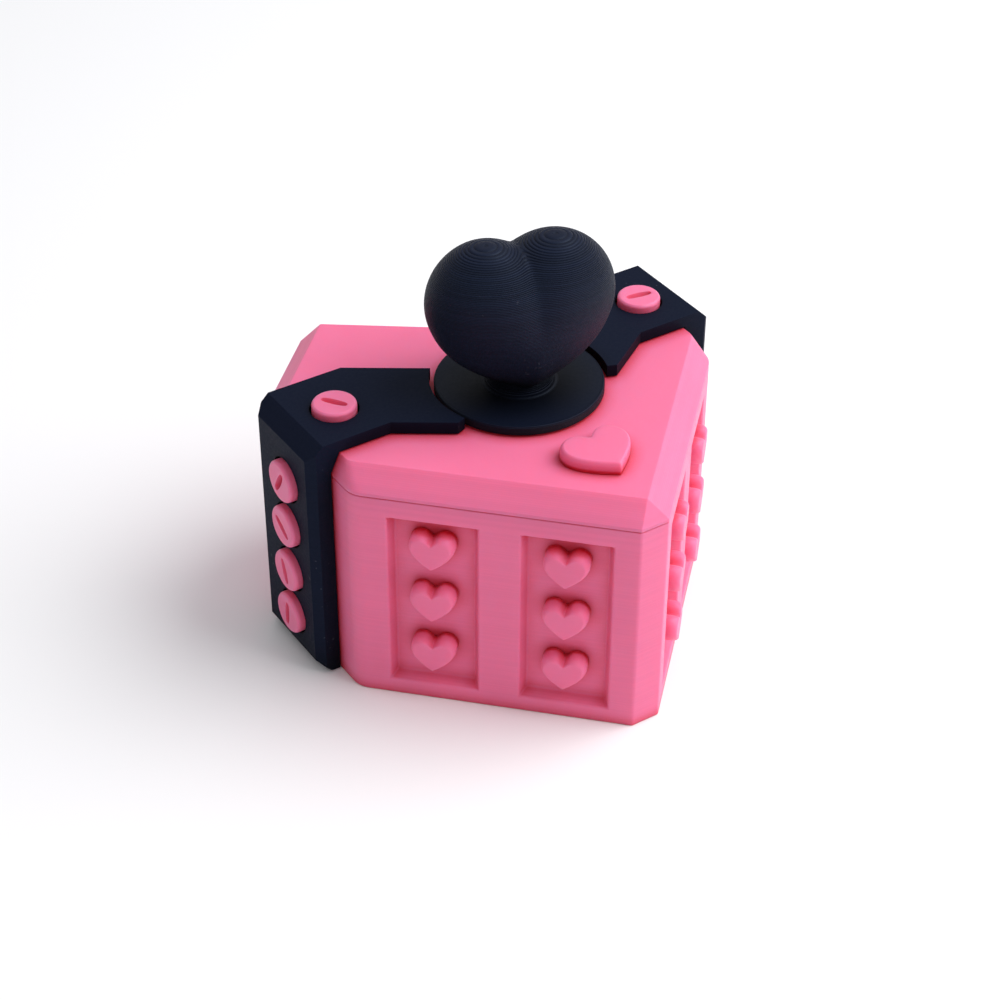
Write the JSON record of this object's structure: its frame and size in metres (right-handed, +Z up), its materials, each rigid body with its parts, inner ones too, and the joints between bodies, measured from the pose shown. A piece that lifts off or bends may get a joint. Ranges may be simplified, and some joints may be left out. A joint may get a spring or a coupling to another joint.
{
  "type": "fidget cube",
  "caption": "Heart-shaped printed puzzle box held shut by slotted bolts through two corner straps, with an inflated heart as the centre knob",
  "frame": {"origin": "bottom centre of the whole object's bounding box, on the table", "axes": "+Z up; the front wall with two heart panels faces -Y and the other panelled wall faces +X, meeting at the heart's point at +X -Y"},
  "size_m": [0.079, 0.079, 0.0804],
  "materials": {
    "pink_print": "satin pink printed plastic with fine horizontal layer lines",
    "pink_bolt": "satin pink printed plastic, slightly deeper, layer lines across the bolt",
    "black_print": "satin blue-black printed plastic with fine horizontal layer lines"
  },
  "bodies": {
    "case": {"box_body": "pink_print", "lid": "pink_print", "strap_left": "black_print", "strap_right": "black_print", "lid_heart": "pink_print", "stud_front_1_1": "pink_print", "stud_front_1_2": "pink_print", "stud_front_1_3": "pink_print", "stud_front_2_1": "pink_print", "stud_front_2_2": "pink_print", "stud_front_2_3": "pink_print", "stud_side_1_1": "pink_print", "stud_side_1_2": "pink_print", "stud_side_1_3": "pink_print", "stud_side_2_1": "pink_print", "stud_side_2_2": "pink_print", "stud_side_2_3": "pink_print"},
    "knob": {"heart_knob": "black_print"},
    "bolt_left_top": {"bolt_left_top": "pink_bolt"},
    "bolt_left_1": {"bolt_left_1": "pink_bolt"},
    "bolt_left_2": {"bolt_left_2": "pink_bolt"},
    "bolt_left_3": {"bolt_left_3": "pink_bolt"},
    "bolt_left_4": {"bolt_left_4": "pink_bolt"},
    "bolt_right_top": {"bolt_right_top": "pink_bolt"},
    "bolt_right_1": {"bolt_right_1": "pink_bolt"},
    "bolt_right_2": {"bolt_right_2": "pink_bolt"},
    "bolt_right_3": {"bolt_right_3": "pink_bolt"},
    "bolt_right_4": {"bolt_right_4": "pink_bolt"}
  },
  "joints": [
    {"name": "knob_turn", "type": "hinge", "parent": "case", "child": "knob", "pos_m": [0.00575, -0.00575, 0.0503], "axis": [0, 0, 1], "continuous": true},
    {"name": "bolt_left_top_out", "type": "slide", "parent": "case", "child": "bolt_left_top", "axis": [0, 0, 1], "range_m": [0, 0.0055]},
    {"name": "bolt_left_1_out", "type": "slide", "parent": "case", "child": "bolt_left_1", "axis": [-0.7071, -0.7071, 0], "range_m": [0, 0.0085]},
    {"name": "bolt_left_2_out", "type": "slide", "parent": "case", "child": "bolt_left_2", "axis": [-0.7071, -0.7071, 0], "range_m": [0, 0.0085]},
    {"name": "bolt_left_3_out", "type": "slide", "parent": "case", "child": "bolt_left_3", "axis": [-0.7071, -0.7071, 0], "range_m": [0, 0.0085]},
    {"name": "bolt_left_4_out", "type": "slide", "parent": "case", "child": "bolt_left_4", "axis": [-0.7071, -0.7071, 0], "range_m": [0, 0.0085]},
    {"name": "bolt_right_top_out", "type": "slide", "parent": "case", "child": "bolt_right_top", "axis": [0, 0, 1], "range_m": [0, 0.0055]},
    {"name": "bolt_right_1_out", "type": "slide", "parent": "case", "child": "bolt_right_1", "axis": [0.7071, 0.7071, 0], "range_m": [0, 0.0085]},
    {"name": "bolt_right_2_out", "type": "slide", "parent": "case", "child": "bolt_right_2", "axis": [0.7071, 0.7071, 0], "range_m": [0, 0.0085]},
    {"name": "bolt_right_3_out", "type": "slide", "parent": "case", "child": "bolt_right_3", "axis": [0.7071, 0.7071, 0], "range_m": [0, 0.0085]},
    {"name": "bolt_right_4_out", "type": "slide", "parent": "case", "child": "bolt_right_4", "axis": [0.7071, 0.7071, 0], "range_m": [0, 0.0085]}
  ]
}
